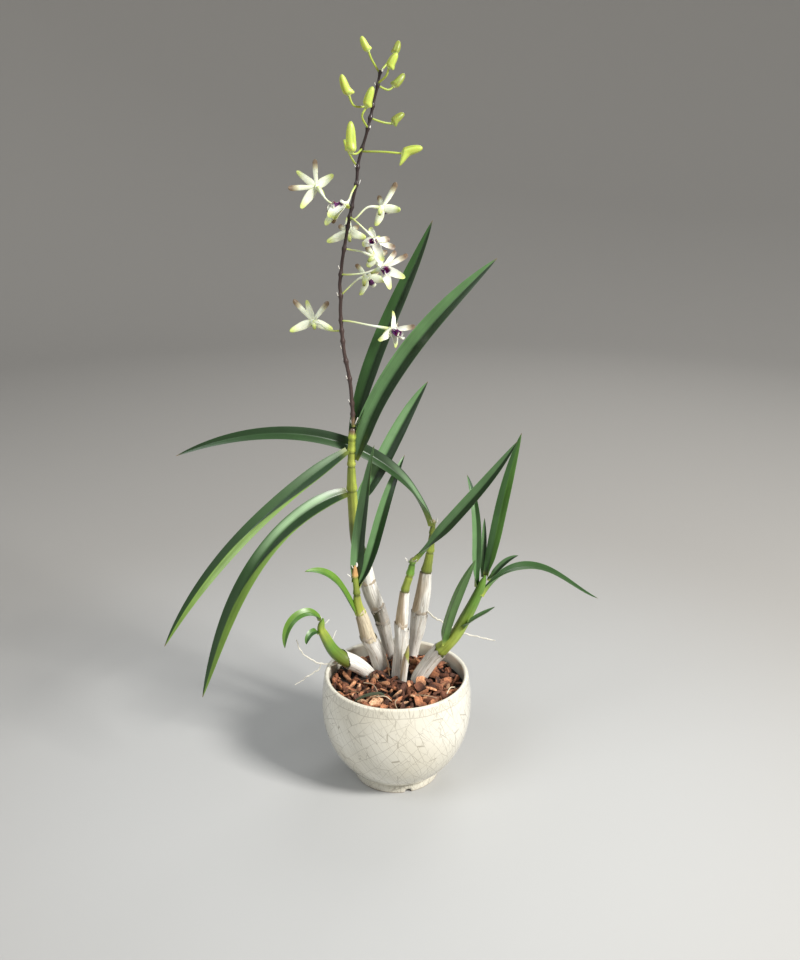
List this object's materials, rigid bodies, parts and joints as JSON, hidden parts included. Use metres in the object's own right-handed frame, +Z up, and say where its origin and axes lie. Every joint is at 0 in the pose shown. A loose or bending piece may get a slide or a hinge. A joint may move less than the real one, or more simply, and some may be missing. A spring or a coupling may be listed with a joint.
{
  "type": "potted dendrobium orchid",
  "caption": "Orchid with swollen canes, arching strap leaves and a tall spray of buds and starry cream flowers, potted in bark in a round crackle-glazed pot.",
  "frame": {"origin": "middle of the pot's foot, at the level of the surface it stands on", "axes": "+Z up along the pot's axis; the viewer of the picture is on the -Y side, with +X to the right"},
  "size_m": [0.3536, 0.1278, 0.5842],
  "materials": {
    "glaze": "gloss",
    "bark": "matte",
    "cane": "satin",
    "leaf": "satin",
    "flower_stem": "satin",
    "bud": "satin",
    "petal": "satin",
    "root": "matte"
  },
  "bodies": {
    "root": {"pot": "glaze", "bark_mix": "bark", "cane_flowering": "cane", "cane_front_left": "cane", "cane_front_middle": "cane", "cane_back_right": "cane", "cane_right": "cane", "shoot_left": "cane", "shoot_young": "cane", "leaf_crown_right": "leaf", "leaf_crown_back": "leaf", "leaf_main_right": "leaf", "leaf_arch": "leaf", "leaf_droop_upper": "leaf", "leaf_droop_lower": "leaf", "leaf_spear_left": "leaf", "leaf_spear_right": "leaf", "leaf_front_small": "leaf", "leaf_left_curl": "leaf", "leaf_left_short": "leaf", "leaf_middle_long": "leaf", "leaf_right_tall": "leaf", "leaf_right_inner": "leaf", "leaf_right_narrow": "leaf", "leaf_right_base": "leaf", "leaf_right_low": "leaf", "leaf_right_stub": "leaf", "leaf_right_arch": "leaf", "flower_stem": "flower_stem", "bud_1": "bud", "bud_2": "bud", "bud_3": "bud", "bud_4": "bud", "bud_5": "bud", "bud_6": "bud", "bud_7": "bud", "bud_8": "bud", "bud_9": "bud", "bud_10": "bud", "flower_left_high": "petal", "flower_hanging": "petal", "flower_right_high": "petal", "flower_behind": "petal", "flower_middle": "petal", "flower_front": "petal", "flower_inner": "petal", "flower_low_middle": "petal", "flower_left_low": "petal", "flower_right_low": "petal", "root_right": "root", "root_left": "root"}
  },
  "joints": []
}
